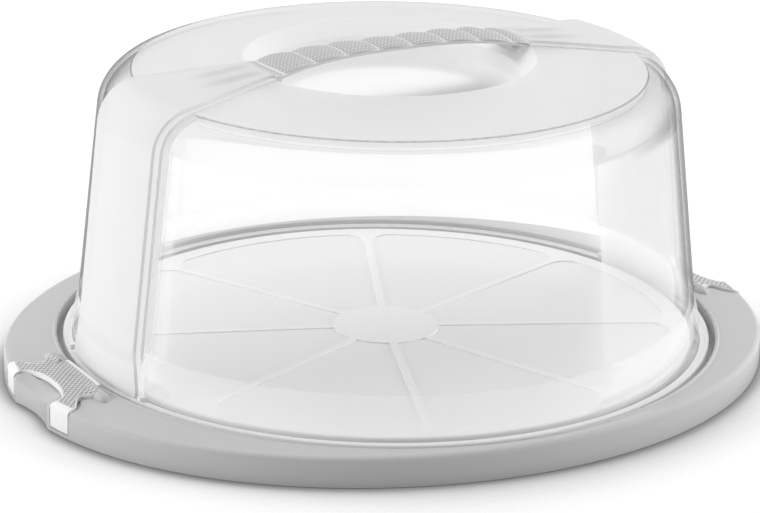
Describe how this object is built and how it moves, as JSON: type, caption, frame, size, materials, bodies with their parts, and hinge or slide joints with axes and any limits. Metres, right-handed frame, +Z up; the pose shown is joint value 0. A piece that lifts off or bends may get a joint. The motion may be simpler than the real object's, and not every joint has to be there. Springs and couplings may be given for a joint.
{
  "type": "cake carrier",
  "caption": "Oval cake carrier: tray with a groove for the clear domed cover, which has a bridge handle over a sunk well, and hinged end clips that hold the cover's rim down.",
  "frame": {"origin": "on the table, under the centre of the dome and of the oval", "axes": "+X along the long axis of the oval, through both clips; +Z up"},
  "size_m": [0.3478, 0.31, 0.1475],
  "materials": {
    "tray_plastic": "smooth gloss, opaque white",
    "cover_clear": "clear, with frosted band and foot",
    "grip_plastic": "fine woven texture, satin grey",
    "handle_plastic": "smooth satin grey",
    "clip_plastic": "basket-weave texture on top, smooth legs",
    "pin_steel": "drawn rod"
  },
  "bodies": {
    "base": {"tray": "tray_plastic", "clip_left_pin": "pin_steel", "clip_right_pin": "pin_steel"},
    "lid": {"dome": "cover_clear", "handle_grip": "grip_plastic", "handle_beam": "handle_plastic"},
    "left_clip": {"clip_left": "clip_plastic"},
    "right_clip": {"clip_right": "clip_plastic"}
  },
  "joints": [
    {"name": "lid_lift", "type": "slide", "parent": "base", "child": "lid", "axis": [0, 0, 1], "range_m": [0, 0.18]},
    {"name": "left_clip_hinge", "type": "hinge", "parent": "base", "child": "left_clip", "pos_m": [-0.1528, 0, 0.0135], "axis": [0, 1, 0], "range_deg": [0, 100]},
    {"name": "right_clip_hinge", "type": "hinge", "parent": "base", "child": "right_clip", "pos_m": [0.1528, 0, 0.0135], "axis": [0, -1, 0], "range_deg": [0, 100]}
  ]
}
